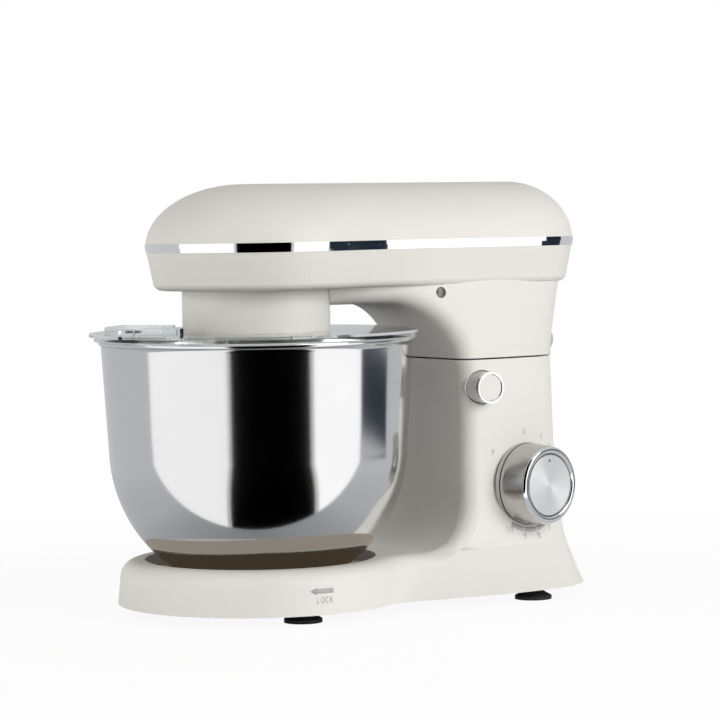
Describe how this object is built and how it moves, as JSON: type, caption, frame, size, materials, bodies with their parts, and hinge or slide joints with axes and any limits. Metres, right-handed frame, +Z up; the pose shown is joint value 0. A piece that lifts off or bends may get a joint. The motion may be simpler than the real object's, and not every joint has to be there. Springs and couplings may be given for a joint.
{
  "type": "stand mixer",
  "caption": "Stand mixer with tilting head, steel twist-lock bowl, clear splash guard, speed dial, release button and planetary beater drive.",
  "frame": {"origin": "middle of the overall length and width, on the table", "axes": "+Z up, nose towards -Y, dial and release button on the +X side"},
  "size_m": [0.2332, 0.3896, 0.3065],
  "materials": {
    "housing": "satin warm cream, fine moulded texture",
    "chrome": "bright plated",
    "steel": "polished, fine turned lines",
    "clear": "clear moulded",
    "turned": "spun face",
    "cast": "die cast",
    "dark": "fine grain",
    "rubber": "matt",
    "nylon": "greased",
    "gear_steel": "machined",
    "bronze": "sintered",
    "board": "laminate",
    "magnet": "sintered",
    "winding": "laminations with lacquered wire"
  },
  "bodies": {
    "base": {"base_housing": "housing", "bottom_plate": "dark", "bottom_screws": "gear_steel", "foot_front_right": "rubber", "foot_front_left": "rubber", "foot_rear_right": "rubber", "foot_rear_left": "rubber", "seat_plate": "nylon", "hinge_bracket": "cast", "hinge_pin": "gear_steel", "dial_bezel": "housing", "speed_switch": "dark", "control_board": "board", "board_posts": "housing", "cord_inlet": "rubber", "button_sleeve": "housing"},
    "head": {"head_lower_housing": "housing", "head_trim": "chrome", "head_top_cover": "housing", "collar": "housing", "chassis": "cast", "bearing_bridge": "gear_steel", "bushes": "bronze", "ring_gear": "nylon", "hinge_yoke": "cast", "latch_keeper": "gear_steel", "motor_can": "gear_steel", "field_magnets": "magnet", "drive_belt": "rubber"},
    "guard": {"splash_guard": "clear"},
    "rotor": {"motor_rotor": "winding", "cooling_fan": "dark", "motor_pulley": "gear_steel"},
    "countershaft": {"layshaft": "gear_steel", "belt_pulley": "cast"},
    "carrier": {"main_gear": "nylon", "main_shaft": "gear_steel", "planet_carrier": "cast", "planet_cover": "housing"},
    "tool": {"spindle": "gear_steel", "drive_pin": "gear_steel", "beater": "cast"},
    "dial": {"dial_knob": "chrome", "dial_face": "turned"},
    "button": {"release_button": "housing", "button_ring": "chrome", "latch_slide": "gear_steel", "button_spring": "gear_steel"},
    "bowl": {"bowl": "steel"}
  },
  "joints": [
    {"name": "head_tilt", "type": "hinge", "parent": "base", "child": "head", "pos_m": [0, 0.15695, 0.188], "axis": [-1, 0, 0], "range_deg": [0, 35]},
    {"name": "guard_twist", "type": "hinge", "parent": "head", "child": "guard", "pos_m": [0, -0.07505, 0.2], "axis": [0, 0, 1], "range_deg": [0, 45]},
    {"name": "layshaft_turn", "type": "hinge", "parent": "head", "child": "countershaft", "pos_m": [0, -0.02105, 0.25], "axis": [0, 0, 1], "continuous": true},
    {"name": "motor_turn", "type": "hinge", "parent": "head", "child": "rotor", "pos_m": [0, 0.11495, 0.23], "axis": [0, 0, 1], "continuous": true},
    {"name": "planet_turn", "type": "hinge", "parent": "head", "child": "carrier", "pos_m": [0, -0.07505, 0.24], "axis": [0, 0, 1], "continuous": true},
    {"name": "spindle_turn", "type": "hinge", "parent": "carrier", "child": "tool", "pos_m": [0, -0.09605, 0.2], "axis": [0, 0, 1], "continuous": true},
    {"name": "dial_turn", "type": "hinge", "parent": "base", "child": "dial", "pos_m": [0.055, 0.12295, 0.083], "axis": [-0.9816, -0.1908, 0], "range_deg": [-50, 214]},
    {"name": "button_press", "type": "slide", "parent": "base", "child": "button", "axis": [-1, 0, 0], "range_m": [0, 0.006], "stiffness_N_per_m": 400, "springref_m": -0.002, "deforming": ["button_spring"]},
    {"name": "bowl_twist", "type": "hinge", "parent": "base", "child": "bowl", "pos_m": [0, -0.07505, 0.03], "axis": [0, 0, 1], "range_deg": [0, 25]}
  ],
  "couplings": [
    {"joint": "planet_turn", "follows": "layshaft_turn", "ratio": -0.2},
    {"joint": "spindle_turn", "follows": "layshaft_turn", "ratio": 0.6},
    {"joint": "motor_turn", "follows": "layshaft_turn", "ratio": 6}
  ]
}
